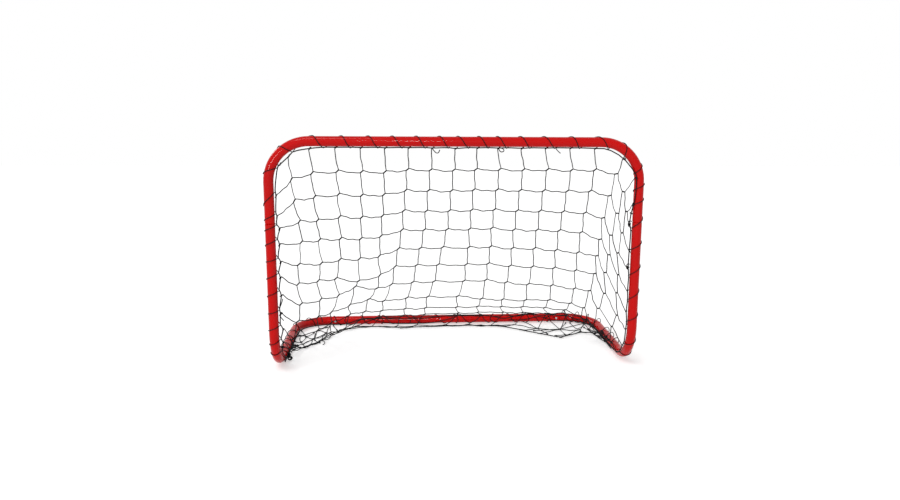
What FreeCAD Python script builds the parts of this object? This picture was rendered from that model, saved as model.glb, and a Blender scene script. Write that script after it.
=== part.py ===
import FreeCAD, Part
import math
import os

# A small floorball goal: a red steel tube frame in four sections that plug together,
# with a black knotted net laced to it by cord that spirals round every tube.
# Millimetres. X runs across the goal, Y from the mouth to the back, Z up from the floor.
# The origin is on the floor, half way across and half way between front and back.

# Driving dimensions of the frame
goal_width = 950.0
goal_height = 605.0
goal_depth = 450.0
tube_diameter = 25.0
tube_wall = 1.5
bend_radius = 100.0
post_joint_height = 389.0
rail_joint_from_bend = 4.0

# Plug joints: the reduced end of one tube slides into the mouth of the next
spigot_length = 45.0
spigot_clearance = 0.15
shoulder_length = 2.5
shoulder_gap = 0.3
spigot_lead_in = 3.0
spigot_lead_depth = 0.8

# Spring buttons that lock the plug joints
button_diameter = 7.0
button_hole_clearance = 0.15
button_stand_out = 2.5
button_dome = 1.8
button_from_joint = 9.5
button_flange_diameter = 9.6
button_flange_thickness = 1.2
button_seat_gap = 0.1
rivet_diameter = 3.0
rivet_head_diameter = 4.6
rivet_head_thickness = 0.7
rivet_clearance = 0.15
leaf_thickness = 0.5
leaf_width = 6.0
leaf_length = 30.0
leaf_bend_radius = 1.6
leaf_end_overhang = 5.0
leaf_seat_gap = 0.1

# Cord that laces the net to the tubes
lacing_diameter = 2.2
lacing_gap = 0.15
lacing_sides = 6
lacing_pitch_top = 55.5
lacing_pitch_left_post = 43.0
lacing_pitch_right_post = 56.0
lacing_pitch_rail = 50.0
lacing_pitch_back = 57.0
lacing_front_share = 0.42
lacing_flat_share = 0.1
lacing_end_margin = 5.0
elbow_lacing_angle = 54.0

# Selvedge cord along the edges of the net
edge_diameter = 3.0
edge_sides = 8
seat_gap = 0.3
base_edge_angle = 45.0

# Knotted net
twine_diameter = 2.0
mesh_width = 58.5
mesh_height = 62.0
side_mesh_width = 56.0
edge_mesh_least = 25.0
net_sag = 60.0
net_sag_place = 0.65
foot_lean = 95.0
foot_lean_place = -130.0
foot_lean_reach = 330.0
lean_growth = 1.5
corner_knot_angle = 45.0
side_net_foot_gap = 2.0

# Spare net that lies on the floor in front of the back rail
slack_height = 14.0
slack_spread = 26.0
slack_left_reach = 85.0
slack_left_share = 0.32
slack_middle_reach = 14.0
slack_right_reach = 62.0
slack_right_place = 0.84
slack_right_share = 0.3
slack_left_taper = 0.8
slack_fold_share = 0.5
slack_mesh_width = 42.0
slack_floor_gap = 0.2

# Places that follow from the driving dimensions
tube_radius = tube_diameter / 2
lacing_radius = tube_radius + lacing_gap + lacing_diameter / 2
flat_depth = lacing_flat_share * lacing_diameter
rail_z = tube_radius + lacing_gap + lacing_diameter - flat_depth
post_x = goal_width / 2 - tube_radius
front_y = -goal_depth / 2 + tube_radius
back_y = goal_depth / 2 - tube_radius
bar_z = rail_z + goal_height - tube_diameter
bend_in = post_x - bend_radius
post_joint_z = rail_z - tube_radius + post_joint_height
rail_joint_x = bend_in - rail_joint_from_bend
spigot_outer = tube_radius - tube_wall - spigot_clearance
spigot_bore = spigot_outer - tube_wall
edge_offset = tube_radius + lacing_gap + lacing_diameter + seat_gap + edge_diameter / 2

V = FreeCAD.Vector
X, Y, Z = V(1, 0, 0), V(0, 1, 0), V(0, 0, 1)

os.makedirs("parts", exist_ok=True)


def save(name, shape):
    """Write one node's solids."""
    shape.exportStep("parts/" + name + ".step")
    print(name, len(shape.Solids), "solid(s)", round(shape.Volume, 1), "mm3")


def side_of(direction):
    """A direction square to the one given."""
    helper = min((X, Y, Z), key=lambda axis: abs(direction.dot(axis)))
    return direction.cross(helper).normalize()


# Steel tube, bent and reduced


class Bender:
    """Lays down a round tube as straight runs and true bends, like a tube bender."""

    def __init__(self, start, direction):
        self.place = V(start)
        self.direction = V(direction)
        self.pieces = []

    def section(self, outer, inner):
        """The ring-shaped section square to the tube's direction."""
        rim = Part.Wire([Part.makeCircle(outer, self.place, self.direction)])
        bore = Part.Wire([Part.makeCircle(inner, self.place, self.direction)])
        bore.reverse()
        return Part.Face([rim, bore])

    def run(self, length):
        """A straight stretch."""
        ring = self.section(tube_radius, tube_radius - tube_wall)
        self.pieces.append(ring.extrude(self.direction * length))
        self.place = self.place + self.direction * length

    def bend(self, towards, degrees=90.0):
        """A bend of the die's radius towards a direction square to the tube."""
        ring = self.section(tube_radius, tube_radius - tube_wall)
        centre = self.place + towards * bend_radius
        axis = self.direction.cross(towards)
        self.pieces.append(ring.revolve(centre, axis, degrees))
        turn = FreeCAD.Rotation(axis, degrees)
        self.place = centre + turn.multVec(self.place - centre)
        self.direction = turn.multVec(self.direction)

    def spigot(self):
        """The reduced end: a short shoulder cone, then the part that slides into the next tube."""
        lead = spigot_length - spigot_lead_in
        outline = [
            (-shoulder_length, tube_radius),
            (-shoulder_gap, spigot_outer),
            (lead, spigot_outer),
            (spigot_length, spigot_outer - spigot_lead_depth),
            (spigot_length, spigot_bore - spigot_lead_depth),
            (lead, spigot_bore),
            (-shoulder_gap, spigot_bore),
            (-shoulder_length, tube_radius - tube_wall),
        ]
        out = side_of(self.direction)
        points = [self.place + self.direction * along + out * radius for along, radius in outline]
        profile = Part.Face(Part.makePolygon(points + points[:1]))
        self.pieces.append(profile.revolve(self.place, self.direction, 360))

    def tube(self):
        """All the stretches as one solid."""
        return self.pieces[0].fuse(self.pieces[1:]).removeSplitter()


def drill(tube, centre, outward, radius):
    """A button hole through one wall of a tube."""
    return tube.cut(Part.makeCylinder(radius, tube_diameter, centre, outward))


button_hole_radius = button_diameter / 2 + button_hole_clearance
button_z = post_joint_z - button_from_joint
button_x = rail_joint_x - button_from_joint

# Top section: crossbar, two top bends and the upper halves of the posts
upper_post = bar_z - bend_radius - post_joint_z
bender = Bender(V(-post_x, front_y, post_joint_z + shoulder_length), Z)
bender.run(upper_post - shoulder_length)
bender.bend(X)
bender.run(2 * bend_in)
bender.bend(-Z)
bender.run(upper_post - shoulder_length)
bender.place = V(post_x, front_y, post_joint_z)
bender.spigot()
bender.place = V(-post_x, front_y, post_joint_z)
bender.spigot()
top_frame = bender.tube()
for side in (-1, 1):
    top_frame = drill(top_frame, V(side * post_x, front_y, button_z), Y, button_hole_radius)
save("top_frame", top_frame)

# Side sections: lower post, floor elbow, side rail, back corner and the spigot for the back rail
lower_post = post_joint_z - rail_z - bend_radius
side_rail = goal_depth - tube_diameter - 2 * bend_radius
for side, name in ((-1, "left_side_frame"), (1, "right_side_frame")):
    inward = X * -side
    bender = Bender(V(side * post_x, front_y, post_joint_z), -Z)
    bender.run(lower_post)
    bender.bend(Y)
    bender.run(side_rail)
    bender.bend(inward)
    bender.run(rail_joint_from_bend - shoulder_length)
    bender.place = V(side * rail_joint_x, back_y, rail_z)
    bender.spigot()
    side_frame = bender.tube()
    side_frame = drill(side_frame, V(side * post_x, front_y, button_z), Y, button_hole_radius)
    side_frame = drill(side_frame, V(side * button_x, back_y, rail_z), -Y, button_hole_radius)
    save(name, side_frame)

# Back rail: a straight tube whose two mouths take the side sections' spigots
bender = Bender(V(-rail_joint_x, back_y, rail_z), X)
bender.run(2 * rail_joint_x)
back_rail = bender.tube()
for side in (-1, 1):
    back_rail = drill(back_rail, V(side * button_x, back_y, rail_z), -Y, button_hole_radius)
save("back_rail", back_rail)

# Spring buttons: a domed pin with a flange that stops it against the spigot's bore,
# riveted to one leg of a V-shaped leaf whose other leg bears on the far side of the bore
flange_half = button_flange_diameter / 2
flange_top = math.sqrt(spigot_bore**2 - flange_half**2) - button_seat_gap
flange_bottom = flange_top - button_flange_thickness
leaf_top = flange_bottom - leaf_seat_gap
rivet_end = leaf_top - leaf_thickness - leaf_seat_gap
button_top = tube_radius + button_stand_out


def button(centre, outward):
    """The turned button: rivet head, rivet, flange, shank and dome."""
    shank = button_diameter / 2
    dome_foot = button_top - button_dome

    def turned(radius, low, high):
        return Part.makeCylinder(radius, high - low, centre + outward * low, outward)

    ball_radius = (shank**2 + button_dome**2) / (2 * button_dome)
    ball = Part.makeSphere(ball_radius, centre + outward * (button_top - ball_radius))
    dome = turned(shank, dome_foot, button_top).common(ball)
    head_foot = rivet_end - rivet_head_thickness
    pieces = [
        turned(rivet_head_diameter / 2, head_foot, rivet_end),
        turned(rivet_diameter / 2, rivet_end, flange_bottom),
        turned(flange_half, flange_bottom, flange_top),
        dome,
    ]
    return turned(shank, flange_top, dome_foot).fuse(pieces).removeSplitter()


def leaf_spring(centre, outward, along):
    """The V spring: a strip bent round at its far end, with a hole for the button's rivet."""
    near = leaf_top
    half = leaf_width / 2
    reach = math.sqrt(spigot_bore**2 - half**2) - leaf_seat_gap
    far = -reach + leaf_thickness
    bend_at = leaf_length - leaf_bend_radius - leaf_thickness
    middle = (near - leaf_thickness + far) / 2
    across = outward.cross(along)

    def at(run, height):
        return centre + along * run + outward * height - across * half

    outer = leaf_bend_radius + leaf_thickness
    inner = leaf_bend_radius
    tip = -leaf_end_overhang
    outer_arc = Part.Arc(
        at(bend_at, middle + outer), at(bend_at + outer, middle), at(bend_at, middle - outer)
    ).toShape()
    inner_arc = Part.Arc(
        at(bend_at, middle - inner), at(bend_at + inner, middle), at(bend_at, middle + inner)
    ).toShape()
    top_run = leaf_end_overhang
    upper = [at(tip, near), at(top_run, near), at(bend_at, middle + outer)]
    lower = [at(bend_at, middle - outer), at(top_run, far - leaf_thickness), at(tip, far - leaf_thickness)]
    under = [at(tip, far), at(top_run, far), at(bend_at, middle - inner)]
    over = [at(bend_at, middle + inner), at(top_run, near - leaf_thickness), at(tip, near - leaf_thickness)]
    edges = Part.makePolygon(upper).Edges + [outer_arc]
    edges += Part.makePolygon(lower + under[:1]).Edges
    edges += Part.makePolygon(under).Edges + [inner_arc]
    edges += Part.makePolygon(over + upper[:1]).Edges
    strip = Part.Face(Part.Wire(edges)).extrude(across * leaf_width)
    hole_radius = rivet_diameter / 2 + rivet_clearance
    hole_foot = centre + outward * (near - 2 * leaf_thickness)
    return strip.cut(Part.makeCylinder(hole_radius, 3 * leaf_thickness, hole_foot, outward))


button_places = {
    "post_left": (V(-post_x, front_y, button_z), Y, -Z),
    "post_right": (V(post_x, front_y, button_z), Y, -Z),
    "rail_left": (V(-button_x, back_y, rail_z), -Y, X),
    "rail_right": (V(button_x, back_y, rail_z), -Y, -X),
}
for name, (centre, outward, along) in button_places.items():
    save("snap_button_" + name, button(centre, outward))
    save("snap_spring_" + name, leaf_spring(centre, outward, along))

# Cord swept as a faceted tube along runs and arcs


def polygon_ring(centre, direction, diameter, sides):
    """A regular polygon of the cord's section area, square to the cord."""
    radius = diameter / 2
    first = side_of(direction)
    second = direction.cross(first)
    corners = []
    for i in range(sides):
        angle = 2 * math.pi * (i + 0.5) / sides
        corners.append(centre + (first * math.cos(angle) + second * math.sin(angle)) * radius)
    return Part.makePolygon(corners + corners[:1])


def biarc(start, start_way, end, end_way):
    """Two tangent arcs that join two points with given directions."""
    nothing = 1e-9
    nearly_straight = 1e-4
    chord = end - start
    ways = start_way + end_way
    a = 2 * (1 - start_way.dot(end_way))
    b = 2 * chord.dot(ways)
    c = -chord.dot(chord)
    if abs(a) < nothing:
        reach = -c / b
    else:
        reach = (-b + math.sqrt(b * b - 4 * a * c)) / (2 * a)
    meet_start = start + start_way * reach
    meet_end = end - end_way * reach
    joint = (meet_start + meet_end) * 0.5
    edges = []
    for p, corner, q in ((start, meet_start, joint), (joint, meet_end, end)):
        half_way = (p + q) * 0.5
        rise = corner - half_way
        if rise.Length < nearly_straight * (q - p).Length:
            edges.append(Part.LineSegment(p, q).toShape())
            continue
        half_chord = (q - p).Length / 2
        side = (corner - p).Length
        radius = half_chord * side / rise.Length
        centre = corner + (half_way - corner).normalize() * math.sqrt(radius**2 + side**2)
        middle = centre + (corner - centre).normalize() * radius
        edges.append(Part.Arc(p, middle, q).toShape())
    return edges


def winding(stations, angle_at, frame_at, name):
    """A cord wound round a tube: quarter turns of biarcs through points on the tube."""

    def spot(t):
        centre, first, second = frame_at(t)
        angle = angle_at(t)
        return centre + (first * math.cos(angle) + second * math.sin(angle)) * lacing_radius

    step = 1e-4
    points = [spot(s) for s in stations]
    ways = [(spot(s + step) - spot(s - step)).normalize() for s in stations]
    lead_in = points[0] - ways[0] * lacing_diameter
    lead_out = points[-1] + ways[-1] * lacing_diameter
    edges = [Part.LineSegment(lead_in, points[0]).toShape()]
    for i in range(len(points) - 1):
        edges += biarc(points[i], ways[i], points[i + 1], ways[i + 1])
    edges.append(Part.LineSegment(points[-1], lead_out).toShape())
    path = Part.Wire(edges)
    ring = polygon_ring(lead_in, ways[0], lacing_diameter, lacing_sides)
    marks = path.discretize(Distance=lacing_diameter)
    apart = int(math.pi * lacing_radius / lacing_diameter)
    least = min((here - there).Length for i, here in enumerate(marks) for there in marks[i + apart :])
    turns = (len(stations) - 1) / 4
    print(name, "turns", turns, "least gap to itself", round(least - lacing_diameter, 2), "mm")
    return path.makePipeShell([ring], True, False)


def lace(length, pitch, frame_at, name, margin=None):
    """Winding along a tube, in its middle or from a given margin.

    The front half of each turn takes its own share of the pitch.
    """
    if margin is None:
        turns = int((length - 2 * lacing_end_margin) / pitch)
        margin = (length - turns * pitch) / 2
    else:
        turns = int((length - lacing_end_margin - margin) / pitch)
    front = pitch * lacing_front_share
    rear = pitch - front
    stations = []
    for turn in range(turns):
        foot = margin + turn * pitch
        stations += [foot, foot + front / 2, foot + front, foot + front + rear / 2]
    stations.append(margin + turns * pitch)

    def angle_at(t):
        u = (t - margin) / pitch
        whole = math.floor(u)
        part = u - whole
        if part < lacing_front_share:
            turned = 0.5 * part / lacing_front_share
        else:
            turned = 0.5 + 0.5 * (part - lacing_front_share) / (1 - lacing_front_share)
        return 2 * math.pi * (whole + turned)

    return winding(stations, angle_at, frame_at, name)


def straight(start, way, first, second):
    """Centre line and square directions of a straight tube."""
    return lambda t: (start + way * t, first, second)


# Lacing: one length of cord on each tube, tied off at its ends.
# The crossbar's cord goes on round both top bends, and each post's goes on into the floor elbow
bend_length = bend_radius * math.pi / 2
top_length = 2 * (bend_in + bend_length)


def top_line(t):
    """The crossbar's centre line with its two bends, from the left post to the right."""
    from_middle = t - top_length / 2
    side = 1 if from_middle > 0 else -1
    past = abs(from_middle) - bend_in
    if past <= 0:
        return V(from_middle, front_y, bar_z), Z, -Y
    angle = past / bend_radius
    out = X * (side * math.sin(angle)) + Z * math.cos(angle)
    return V(side * bend_in, front_y, bar_z - bend_radius) + out * bend_radius, out, -Y


save("lacing_crossbar", lace(top_length, lacing_pitch_top, top_line, "lacing_crossbar"))

post_run = bar_z - rail_z - 2 * bend_radius
elbow_length = bend_radius * math.radians(elbow_lacing_angle)


def post_line(side):
    """A post's centre line from part way up the floor elbow to the top bend."""

    def line(t):
        up = t - elbow_length
        out = X * side
        if up >= 0:
            return V(side * post_x, front_y, rail_z + bend_radius + up), out, -Y
        angle = -up / bend_radius
        ahead = -Y * math.cos(angle) - Z * math.sin(angle)
        centre = V(side * post_x, front_y + bend_radius, rail_z + bend_radius)
        return centre + ahead * bend_radius, out, ahead

    return line


def margin_beside_button(pitch):
    """The first margin with which the cord crosses behind the post half a pitch from the button."""
    to_button = elbow_length + button_z - rail_z - bend_radius
    before_turns = to_button - pitch * lacing_front_share / 2
    return lacing_end_margin + (before_turns - lacing_end_margin) % pitch


post_pitches = {-1: lacing_pitch_left_post, 1: lacing_pitch_right_post}
for side, name in ((-1, "lacing_left_post"), (1, "lacing_right_post")):
    pitch = post_pitches[side]
    margin = margin_beside_button(pitch)
    save(name, lace(elbow_length + post_run, pitch, post_line(side), name, margin))

floor_slab = Part.makeBox(
    2 * goal_width, 2 * goal_depth, tube_diameter, V(-goal_width, -goal_depth, -tube_diameter)
)
for side, name in ((-1, "lacing_left_rail"), (1, "lacing_right_rail")):
    foot = V(side * post_x, front_y + bend_radius, rail_z)
    lacing = lace(side_rail, lacing_pitch_rail, straight(foot, Y, -Z, X * side), name)
    save(name, lacing.cut(floor_slab))
back_start = V(-rail_joint_x, back_y, rail_z)
back_line = straight(back_start, X, -Z, Y)
lacing = lace(2 * rail_joint_x, lacing_pitch_back, back_line, "lacing_back_rail")
save("lacing_back_rail", lacing.cut(floor_slab))

# Selvedge cords: one round the mouth inside the posts and crossbar, one round the base


def cord_along(edges, diameter, sides):
    """A straight-sided cord swept along runs and arcs."""
    path = Part.Wire(edges)
    start = path.Edges[0].valueAt(path.Edges[0].FirstParameter)
    way = path.Edges[0].tangentAt(path.Edges[0].FirstParameter)
    return path.makePipeShell([polygon_ring(start, way, diameter, sides)], True, False)


def quarter(start, middle_way, end, radius):
    """A quarter circle between two square directions."""
    centre = start + middle_way * radius
    chord_middle = (start + end) * 0.5
    middle = centre + (chord_middle - centre).normalize() * radius
    return Part.Arc(start, middle, end).toShape()


inner_x = post_x - edge_offset
inner_z = bar_z - edge_offset
inner_bend = bend_radius - edge_offset
mouth_foot = rail_z + bend_radius
bar_end = bar_z - bend_radius
mouth_edges = [
    Part.LineSegment(V(-inner_x, front_y, mouth_foot), V(-inner_x, front_y, bar_end)).toShape(),
    quarter(V(-inner_x, front_y, bar_end), X, V(-bend_in, front_y, inner_z), inner_bend),
    Part.LineSegment(V(-bend_in, front_y, inner_z), V(bend_in, front_y, inner_z)).toShape(),
    quarter(V(bend_in, front_y, inner_z), -Z, V(inner_x, front_y, bar_end), inner_bend),
    Part.LineSegment(V(inner_x, front_y, bar_end), V(inner_x, front_y, mouth_foot)).toShape(),
]
save("edge_cord_mouth", cord_along(mouth_edges, edge_diameter, edge_sides))

base_in = edge_offset * math.cos(math.radians(base_edge_angle))
base_up = edge_offset * math.sin(math.radians(base_edge_angle))
base_x = post_x - base_in
base_y = back_y - base_in
base_z = rail_z + base_up
base_bend = bend_radius - base_in
rail_front = front_y + bend_radius
rail_back = back_y - bend_radius
base_edges = [
    Part.LineSegment(V(-base_x, rail_front, base_z), V(-base_x, rail_back, base_z)).toShape(),
    quarter(V(-base_x, rail_back, base_z), X, V(-bend_in, base_y, base_z), base_bend),
    Part.LineSegment(V(-bend_in, base_y, base_z), V(bend_in, base_y, base_z)).toShape(),
    quarter(V(bend_in, base_y, base_z), -Y, V(base_x, rail_back, base_z), base_bend),
    Part.LineSegment(V(base_x, rail_back, base_z), V(base_x, rail_front, base_z)).toShape(),
]
save("edge_cord_base", cord_along(base_edges, edge_diameter, edge_sides))

# Knotted net: flat strips of meshes, each mesh a four-sided gap


def gap(corners, margin):
    """The gap inside one mesh: its corners drawn in by half the twine."""
    drawn = []
    for i, corner in enumerate(corners):
        before = (corners[i - 1] - corner).normalize()
        after = (corners[(i + 1) % len(corners)] - corner).normalize()
        turn = before.cross(after).Length
        drawn.append(corner + (before + after) * (margin / turn))
    wire = Part.makePolygon(drawn + drawn[:1])
    wire.reverse()
    return wire


def strip(lower, upper, thickness):
    """One row of meshes between two rows of knots, as a holed face given its thickness."""
    outline = Part.makePolygon(lower + upper[::-1] + lower[:1])
    outer = Part.Face(outline)
    gaps = []
    for i in range(len(lower) - 1):
        corners = [lower[i], lower[i + 1], upper[i + 1], upper[i]]
        gaps.append(Part.Face(gap(corners, twine_diameter / 2)))
    return outer.cut(gaps).extrude(thickness)


def spaced(start, end, count):
    """Knots at even spacing along a row."""
    return [start + (end - start) * (i / count) for i in range(count + 1)]


net_half = inner_x - twine_diameter / 2 - seat_gap
net_top = V(0, front_y, inner_z - edge_diameter / 2 - seat_gap)
net_foot = V(0, base_y - edge_diameter / 2 - seat_gap, base_z)
net_way = net_foot - net_top
net_inward = V(0, net_way.z, -net_way.y).normalize()
rows = round(net_way.Length / mesh_height)
columns = int(2 * (net_half - edge_mesh_least) / mesh_width)
sag_power = math.log(0.5) / math.log(net_sag_place)


def hang(share):
    """A point of the net's sagging line between the crossbar and the back rail."""
    low = share**sag_power
    return net_top + net_way * share + net_inward * (4 * net_sag * low * (1 - low))


def drawn_in(knot, way, radius):
    """A knot of the top or bottom row, drawn towards the next row where the tube bends away."""
    past = max(0.0, abs(knot.x) - bend_in)
    drop = radius - math.sqrt(radius**2 - past**2)
    return knot + way * (drop / max(abs(way.y), abs(way.z)))


def leaned(x, share):
    """Where a column that starts at x hangs further down: near one place the columns lean left."""
    past = min(1.0, abs(x - foot_lean_place) / foot_lean_reach)
    lean = foot_lean * (1 + math.cos(math.pi * past)) / 2
    return x - lean * share**lean_growth


top_round = inner_bend - edge_diameter / 2 - seat_gap
foot_round = base_bend - edge_diameter / 2 - seat_gap
corner_share = math.sin(math.radians(corner_knot_angle))
column_places = [(i - columns / 2) * mesh_width for i in range(columns + 1)]
net_rows = []
for row in range(rows + 1):
    middle = hang(row / rows)
    wide = net_half
    if row == 0:
        wide = bend_in + top_round * corner_share
    elif row == rows:
        wide = bend_in + foot_round * corner_share
    elif middle.z > bar_end:
        wide = bend_in + math.sqrt(top_round**2 - (middle.z - bar_end) ** 2)
    places = [-wide] + [leaned(x, row / rows) for x in column_places] + [wide]
    knots = [middle + X * place for place in places]
    if row == 0:
        knots = [drawn_in(knot, hang(1 / rows) - middle, top_round) for knot in knots]
    elif row == rows:
        knots = [drawn_in(knot, hang((rows - 1) / rows) - middle, foot_round) for knot in knots]
    net_rows.append(knots)
twine_depth = net_inward * twine_diameter
meshes = [strip(net_rows[row + 1], net_rows[row], twine_depth) for row in range(rows)]
save("net_back", meshes[0].fuse(meshes[1:]))

# Side nets: between the post, the side rail and the edge of the back net
front_line = front_y + edge_diameter / 2 + seat_gap
elbow_inside = bend_radius - tube_radius - seat_gap


def front_end(z):
    """Where a row of the side net meets the post or the inside of the floor elbow."""
    drop = max(0.0, rail_z + bend_radius - z)
    return front_line + elbow_inside - math.sqrt(max(0.0, elbow_inside**2 - drop**2))


side_rows = [hang(row / rows) for row in range(rows) if hang(row / rows).z < bar_end]
side_foot = V(0, rail_back, base_z + side_net_foot_gap)
side_rows.append(side_foot)
for side, name in ((-1, "net_left_side"), (1, "net_right_side")):
    plane_x = side * inner_x
    strips = []
    for high, low in zip(side_rows, side_rows[1:]):
        count = max(1, round((low.y - front_line) / side_mesh_width))
        lower = spaced(V(plane_x, front_end(low.z), low.z), V(plane_x, low.y, low.z), count)
        upper = spaced(V(plane_x, front_end(high.z), high.z), V(plane_x, high.y, high.z), count)
        strips.append(strip(lower, upper, X * (-side * twine_diameter / 2)))
    save(name, strips[0].fuse(strips[1:]))

# Spare net on the floor: it drops from the selvedge in front of the back rail and lies forward
slack_top_y = back_y - tube_radius - lacing_gap - lacing_diameter - seat_gap
slack_count = round(2 * bend_in / slack_mesh_width)
lift = V(0, 0, twine_diameter / 2)
floor_z = slack_floor_gap
slack_front = slack_top_y - slack_spread


def reach_at(x):
    """How far the spare net lies forward at each place along the rail."""
    across = (x + bend_in) / (2 * bend_in)
    left = max(0.0, 1 - across / slack_left_share)
    right = max(0.0, 1 - abs(across - slack_right_place) / slack_right_share)
    return slack_middle_reach + slack_left_reach * left**slack_left_taper + slack_right_reach * right


top_row = spaced(V(-bend_in, slack_top_y, slack_height), V(bend_in, slack_top_y, slack_height), slack_count)
foot_half = bend_in + slack_spread
foot_row = spaced(V(-foot_half, slack_front, floor_z), V(foot_half, slack_front, floor_z), slack_count)
mid_row = [V(p.x, slack_front - reach_at(p.x) * slack_fold_share, floor_z) for p in foot_row]
tip_row = [V(p.x, slack_front - reach_at(p.x), floor_z) for p in foot_row]
slack = strip(foot_row, top_row, lift)
slack = slack.fuse([strip(mid_row, foot_row, lift), strip(tip_row, mid_row, lift)])
save("net_floor_slack", slack)
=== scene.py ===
import math
import random

import bmesh
import bpy
import numpy as np
from mathutils import Matrix, Vector


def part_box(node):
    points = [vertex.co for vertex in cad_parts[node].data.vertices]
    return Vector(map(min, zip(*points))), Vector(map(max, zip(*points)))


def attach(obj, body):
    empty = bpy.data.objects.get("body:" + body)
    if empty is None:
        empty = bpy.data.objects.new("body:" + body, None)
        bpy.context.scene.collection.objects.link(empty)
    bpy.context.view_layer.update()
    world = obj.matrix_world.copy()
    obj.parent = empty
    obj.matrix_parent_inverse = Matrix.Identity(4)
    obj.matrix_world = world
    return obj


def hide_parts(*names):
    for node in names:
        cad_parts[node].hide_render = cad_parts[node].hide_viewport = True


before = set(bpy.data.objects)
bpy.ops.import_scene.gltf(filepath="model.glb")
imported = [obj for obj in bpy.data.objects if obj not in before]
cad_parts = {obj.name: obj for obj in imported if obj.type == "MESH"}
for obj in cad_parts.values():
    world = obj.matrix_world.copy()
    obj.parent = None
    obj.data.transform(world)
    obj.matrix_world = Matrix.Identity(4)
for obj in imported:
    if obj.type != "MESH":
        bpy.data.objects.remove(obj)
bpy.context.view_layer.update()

mm = 0.001

# Camera: about 0.7 m above the floor and two metres in front of the goal, a little to its
# left, tilted down ten degrees. The picture is cut from a larger one, so the lens is
# shifted slightly.
camera_place = Vector((-127.9, -2027.8, 688.4)) * mm
camera_turn_left = math.radians(-4.29)
camera_tilt_down = math.radians(10.0)
camera_roll = math.radians(0.43)
picture_width, picture_height = 900, 500
focal_pixels = 733.3
optical_centre = (460.1, 232.4)
camera_data = bpy.data.cameras.new("camera")
camera_data.sensor_width = 36.0
camera_data.lens = focal_pixels / picture_width * camera_data.sensor_width
camera_data.shift_x = (picture_width / 2 - optical_centre[0]) / picture_width
camera_data.shift_y = (optical_centre[1] - picture_height / 2) / picture_width
camera = bpy.data.objects.new("camera", camera_data)
turn = Matrix.Rotation(camera_turn_left, 4, "Z") @ Matrix.Rotation(math.pi / 2 - camera_tilt_down, 4, "X")
camera.matrix_world = Matrix.Translation(camera_place) @ turn @ Matrix.Rotation(camera_roll, 4, "Z")
bpy.context.scene.collection.objects.link(camera)
bpy.context.scene.camera = camera

# Tube sections: 25 mm round steel tube, bent cold, with its ends drawn down to plug into
# the next section. They are powder coated gloss red after bending, so the coat runs over
# every edge and has a faint orange-peel surface.
tube_nodes = ["top_frame", "left_side_frame", "right_side_frame", "back_rail"]


def new_group(name, inputs, outputs):
    """A shader node group with named sockets."""
    group = bpy.data.node_groups.new(name, "ShaderNodeTree")
    for label, kind, value in inputs:
        socket = group.interface.new_socket(label, in_out="INPUT", socket_type="NodeSocket" + kind)
        if value is not None:
            socket.default_value = value
    for label, kind in outputs:
        group.interface.new_socket(label, in_out="OUTPUT", socket_type="NodeSocket" + kind)
    return group, group.nodes.new("NodeGroupInput"), group.nodes.new("NodeGroupOutput")


def make_surface_grain():
    """Fine relief and a colour mask from two sizes of noise in the object's own coordinates."""
    group, given, result = new_group(
        "surface_grain",
        [("Scale", "Float", 100.0), ("Relief", "Float", 0.00001), ("Patch scale", "Float", 10.0)],
        [("Normal", "Vector"), ("Patches", "Float"), ("Grain", "Float")],
    )
    nodes, links = group.nodes, group.links
    place = nodes.new("ShaderNodeTexCoord")
    grain = nodes.new("ShaderNodeTexNoise")
    grain.inputs["Detail"].default_value = 3.0
    patches = nodes.new("ShaderNodeTexNoise")
    patches.inputs["Detail"].default_value = 2.0
    bump = nodes.new("ShaderNodeBump")
    links.new(place.outputs["Object"], grain.inputs["Vector"])
    links.new(place.outputs["Object"], patches.inputs["Vector"])
    links.new(given.outputs["Scale"], grain.inputs["Scale"])
    links.new(given.outputs["Patch scale"], patches.inputs["Scale"])
    links.new(grain.outputs["Fac"], bump.inputs["Height"])
    links.new(given.outputs["Relief"], bump.inputs["Distance"])
    links.new(bump.outputs["Normal"], result.inputs["Normal"])
    links.new(patches.outputs["Fac"], result.inputs["Patches"])
    links.new(grain.outputs["Fac"], result.inputs["Grain"])
    return group


surface_grain = make_surface_grain()


def new_material(name, scale, relief, patch_scale):
    """A material with the shared grain already feeding its normal."""
    material = bpy.data.materials.new(name)
    material.use_nodes = True
    nodes = material.node_tree.nodes
    shader = nodes["Principled BSDF"]
    grain = nodes.new("ShaderNodeGroup")
    grain.node_tree = surface_grain
    grain.inputs["Scale"].default_value = scale
    grain.inputs["Relief"].default_value = relief
    grain.inputs["Patch scale"].default_value = patch_scale
    material.node_tree.links.new(grain.outputs["Normal"], shader.inputs["Normal"])
    return material, nodes, material.node_tree.links, shader, grain


def colour_between(nodes, links, mask, socket, low, high, dark, light):
    """A colour that runs from dark to light as a mask rises."""
    ramp = nodes.new("ShaderNodeValToRGB")
    ramp.color_ramp.elements[0].position = low
    ramp.color_ramp.elements[0].color = (*dark, 1.0)
    ramp.color_ramp.elements[1].position = high
    ramp.color_ramp.elements[1].color = (*light, 1.0)
    links.new(mask, ramp.inputs["Fac"])
    links.new(ramp.outputs["Color"], socket)


def value_between(nodes, links, mask, socket, low, high):
    """A number that runs from low to high with a mask."""
    span = nodes.new("ShaderNodeMapRange")
    span.inputs["To Min"].default_value = low
    span.inputs["To Max"].default_value = high
    links.new(mask, span.inputs["Value"])
    links.new(span.outputs["Result"], socket)


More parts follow.
